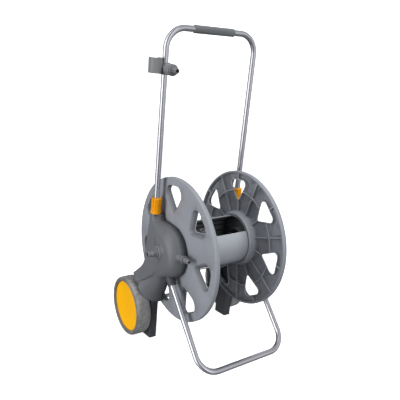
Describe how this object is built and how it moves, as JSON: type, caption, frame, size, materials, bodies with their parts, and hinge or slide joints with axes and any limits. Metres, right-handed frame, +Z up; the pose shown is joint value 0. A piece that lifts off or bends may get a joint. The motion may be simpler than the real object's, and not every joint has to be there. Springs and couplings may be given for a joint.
{
  "type": "hose reel cart",
  "caption": "Free-standing garden hose reel cart: a flanged drum with a crank between two moulded side frames, two wheels, a bent steel hoop foot and a sliding handle.",
  "frame": {"origin": "on the ground, under the middle of the cart's outline", "axes": "+X along the drum's axle towards the crank, -Y the front with the hoop, +Z up"},
  "size_m": [0.4536, 0.4459, 0.882],
  "materials": {
    "frame_plastic": "satin dark grey moulded plastic",
    "cover_plastic": "satin dark grey moulded plastic with a soft gloss",
    "flange_plastic": "fine textured mid grey moulded plastic",
    "core_plastic": "satin mid grey moulded plastic",
    "tube_steel": "bright plated steel tube",
    "axle_steel": "drawn steel",
    "screw_steel": "plated steel",
    "bush_nylon": "natural nylon",
    "fitting_plastic": "grey moulded plastic",
    "holder_plastic": "grey moulded plastic",
    "dark_plastic": "near black moulded plastic",
    "knob_plastic": "near black moulded plastic",
    "seal_rubber": "black rubber",
    "collar_plastic": "orange-yellow gloss plastic",
    "disc_plastic": "yellow satin plastic",
    "tyre_plastic": "warm grey moulded plastic tyre",
    "grip_foam": "grey soft grip"
  },
  "bodies": {
    "frame": {"left_side_frame": "frame_plastic", "right_side_frame": "frame_plastic", "left_side_cover": "cover_plastic", "right_side_cover": "cover_plastic", "cover_screws": "screw_steel", "front_hoop": "tube_steel", "hoop_screws": "screw_steel", "wheel_axle": "axle_steel", "axle_washers": "axle_steel", "axle_clips": "axle_steel", "left_hub_bush": "bush_nylon", "right_hub_bush": "bush_nylon", "inlet_nipple": "fitting_plastic", "inlet_seal": "seal_rubber", "parking_nipple": "fitting_plastic", "left_collet": "bush_nylon", "right_collet": "bush_nylon"},
    "drum": {"left_flange": "flange_plastic", "right_flange": "flange_plastic", "drum_core": "core_plastic", "water_shaft": "dark_plastic", "shaft_nut": "fitting_plastic", "hose_elbow": "dark_plastic", "hose_connector": "fitting_plastic", "crank_shaft": "dark_plastic", "flange_screws": "screw_steel", "crank_arm": "frame_plastic", "crank_screw": "screw_steel", "crank_pin": "axle_steel"},
    "knob": {"crank_knob": "knob_plastic"},
    "handle": {"handle_tube": "tube_steel", "tube_plugs": "dark_plastic", "handle_grip": "grip_foam", "holder_clip": "holder_plastic", "holder_nipple": "fitting_plastic"},
    "left_collar": {"left_collar": "collar_plastic"},
    "right_collar": {"right_collar": "collar_plastic"},
    "left_wheel": {"left_tyre": "tyre_plastic", "left_wheel_core": "dark_plastic", "left_wheel_disc": "disc_plastic"},
    "right_wheel": {"right_tyre": "tyre_plastic", "right_wheel_core": "dark_plastic", "right_wheel_disc": "disc_plastic"}
  },
  "joints": [
    {"name": "drum_spin", "type": "hinge", "parent": "frame", "child": "drum", "pos_m": [-0.02925, -0.023, 0.294], "axis": [1, 0, 0], "continuous": true},
    {"name": "knob_spin", "type": "hinge", "parent": "drum", "child": "knob", "pos_m": [0.18675, 0.087, 0.25911], "axis": [1, 0, 0], "continuous": true},
    {"name": "left_wheel_spin", "type": "hinge", "parent": "frame", "child": "left_wheel", "pos_m": [-0.20425, 0.135, 0.089], "axis": [1, 0, 0], "continuous": true},
    {"name": "right_wheel_spin", "type": "hinge", "parent": "frame", "child": "right_wheel", "pos_m": [0.14575, 0.135, 0.089], "axis": [1, 0, 0], "continuous": true},
    {"name": "handle_slide", "type": "slide", "parent": "frame", "child": "handle", "axis": [0, -0.1571, 0.9876], "range_m": [-0.3, 0]},
    {"name": "left_collar_twist", "type": "hinge", "parent": "frame", "child": "left_collar", "pos_m": [-0.16925, 0.03056, 0.41053], "axis": [0, -0.1571, 0.9876], "range_deg": [0, 90]},
    {"name": "right_collar_twist", "type": "hinge", "parent": "frame", "child": "right_collar", "pos_m": [0.11075, 0.03056, 0.41053], "axis": [0, -0.1571, 0.9876], "range_deg": [0, 90]}
  ]
}
